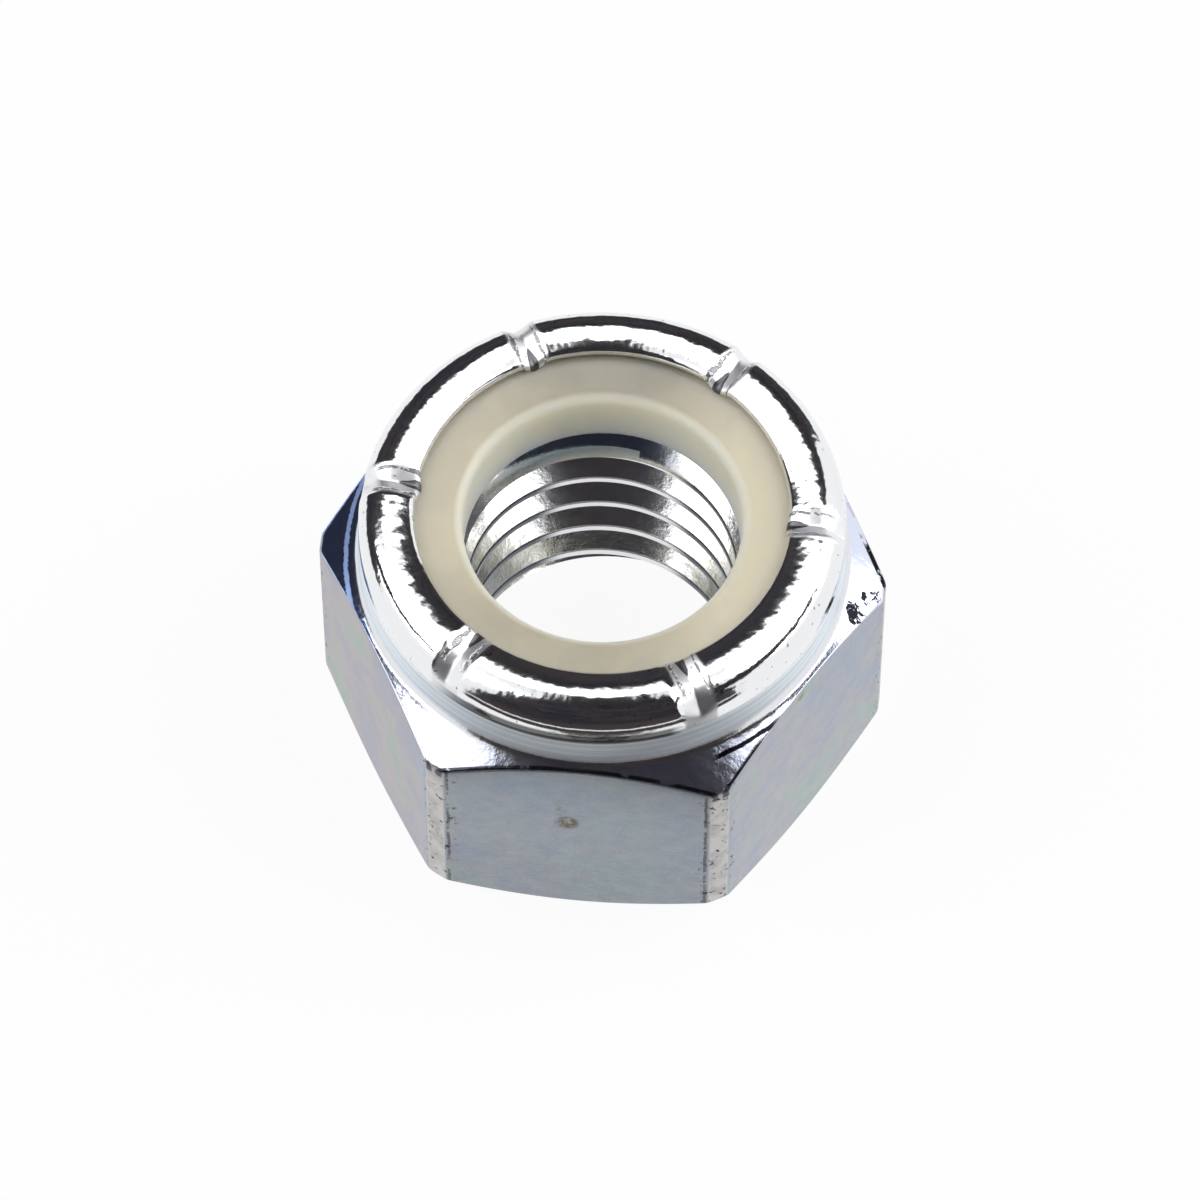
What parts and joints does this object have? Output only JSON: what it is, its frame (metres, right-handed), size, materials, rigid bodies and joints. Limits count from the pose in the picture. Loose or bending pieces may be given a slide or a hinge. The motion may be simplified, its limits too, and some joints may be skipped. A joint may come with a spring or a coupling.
{
  "type": "lock nut",
  "caption": "Zinc plated hexagon lock nut whose rolled collar holds a nylon ring that grips the thread of a bolt.",
  "frame": {"origin": "centre of the bearing face, on the axis of the thread, where the nut rests", "axes": "+Z along the thread's axis from the bearing face to the collar, +X through a corner of the hexagon"},
  "size_m": [0.018, 0.016, 0.0113],
  "materials": {
    "zinc_plated_steel": "blue passivated zinc plating, satin flats and a bright rolled rim",
    "nylon": "natural nylon, slightly translucent, satin"
  },
  "bodies": {
    "root": {"nut_body": "zinc_plated_steel", "nylon_ring": "nylon"}
  },
  "joints": []
}
